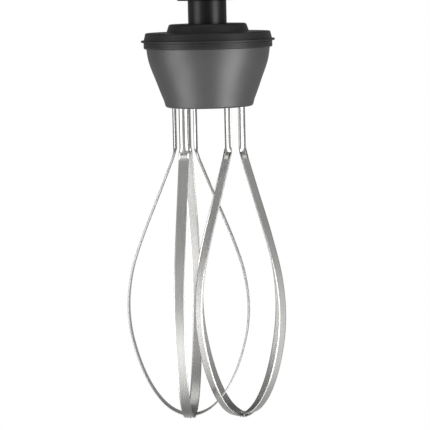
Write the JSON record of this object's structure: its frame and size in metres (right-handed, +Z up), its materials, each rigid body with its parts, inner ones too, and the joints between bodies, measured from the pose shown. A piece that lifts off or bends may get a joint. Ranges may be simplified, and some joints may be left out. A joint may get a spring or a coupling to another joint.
{
  "type": "twin whisk attachment",
  "caption": "Gearbox head of a hand mixer: a black coupling neck and round grey housing drive two side-by-side balloon whisks in opposite directions.",
  "frame": {"origin": "centre of the seat plane round the coupling spigot, on the drive axis", "axes": "+Z up along the drive axis towards the motor body, +X from the left whisk to the right whisk, -Y towards the front"},
  "size_m": [0.1277, 0.1068, 0.357],
  "materials": {
    "neck_black": "glossy",
    "cover_grey": "satin",
    "housing_grey": "satin",
    "seal_rubber": "matte",
    "bush_bronze": "machined",
    "plate_aluminium": "machined",
    "whisk_strip": "brushed along the strip",
    "whisk_steel": "turned",
    "screw_steel": "plain",
    "bearing_steel": "ground",
    "spring_steel": "blued",
    "gear_steel": "machined and oiled",
    "shaft_steel": "ground"
  },
  "bodies": {
    "gearbox": {"coupling_neck": "neck_black", "gear_cover": "cover_grey", "gear_housing": "housing_grey", "cover_gasket": "seal_rubber", "cover_screws": "screw_steel", "bearing_plate": "plate_aluminium", "plate_screws": "screw_steel", "input_bearing_outer_races": "bearing_steel", "input_bearing_balls": "bearing_steel", "neck_seal": "seal_rubber", "neck_circlip": "spring_steel", "intermediate_axle": "shaft_steel", "axle_circlip": "spring_steel", "axle_thrust_washers": "bush_bronze", "spindle_bearing_outer_races": "bearing_steel", "spindle_bearing_balls": "bearing_steel", "bearing_retaining_rings": "spring_steel", "spindle_bush_left": "bush_bronze", "spindle_bush_right": "bush_bronze", "spindle_seal_left": "seal_rubber", "spindle_seal_right": "seal_rubber"},
    "drive": {"input_shaft": "shaft_steel", "drive_dog": "shaft_steel", "dog_pin": "shaft_steel", "input_pinion": "gear_steel", "input_bearing_inner_races": "bearing_steel"},
    "intermediate": {"intermediate_wheel": "gear_steel", "intermediate_pinion": "gear_steel", "intermediate_sleeve": "shaft_steel"},
    "spindle_left_set": {"spindle_left": "shaft_steel", "spindle_gear_left": "gear_steel", "spindle_circlips_left": "spring_steel", "whisk_detent_ring_left": "spring_steel", "spindle_bearing_inner_race_left": "bearing_steel"},
    "whisk_left": {"whisk_shank_left": "whisk_steel", "whisk_hub_left": "whisk_steel", "whisk_ferrule_left": "whisk_steel", "whisk_inner_loop_left": "whisk_strip", "whisk_outer_loop_left": "whisk_strip", "whisk_rivet_left": "whisk_steel"},
    "spindle_right_set": {"spindle_right": "shaft_steel", "spindle_gear_right": "gear_steel", "spindle_circlips_right": "spring_steel", "whisk_detent_ring_right": "spring_steel", "spindle_bearing_inner_race_right": "bearing_steel"},
    "whisk_right": {"whisk_shank_right": "whisk_steel", "whisk_hub_right": "whisk_steel", "whisk_ferrule_right": "whisk_steel", "whisk_inner_loop_right": "whisk_strip", "whisk_outer_loop_right": "whisk_strip", "whisk_rivet_right": "whisk_steel"}
  },
  "joints": [
    {"name": "spindle_left_spin", "type": "hinge", "parent": "gearbox", "child": "spindle_left_set", "pos_m": [-0.02, 0, -0.07], "axis": [0, 0, 1], "continuous": true},
    {"name": "spindle_right_spin", "type": "hinge", "parent": "gearbox", "child": "spindle_right_set", "pos_m": [0.02, 0, -0.07], "axis": [0, 0, 1], "continuous": true},
    {"name": "intermediate_spin", "type": "hinge", "parent": "gearbox", "child": "intermediate", "pos_m": [0.0048, 0.02352, -0.048], "axis": [0, 0, 1], "continuous": true},
    {"name": "drive_spin", "type": "hinge", "parent": "gearbox", "child": "drive", "pos_m": [0, 0, -0.02], "axis": [0, 0, 1], "continuous": true},
    {"name": "whisk_left_release", "type": "slide", "parent": "spindle_left_set", "child": "whisk_left", "axis": [0, 0, -1], "range_m": [0, 0.0045]},
    {"name": "whisk_right_release", "type": "slide", "parent": "spindle_right_set", "child": "whisk_right", "axis": [0, 0, -1], "range_m": [0, 0.0045]}
  ],
  "couplings": [
    {"joint": "spindle_right_spin", "follows": "spindle_left_spin", "ratio": -1},
    {"joint": "intermediate_spin", "follows": "spindle_left_spin", "ratio": 2.5},
    {"joint": "drive_spin", "follows": "spindle_left_spin", "ratio": -7.5}
  ]
}
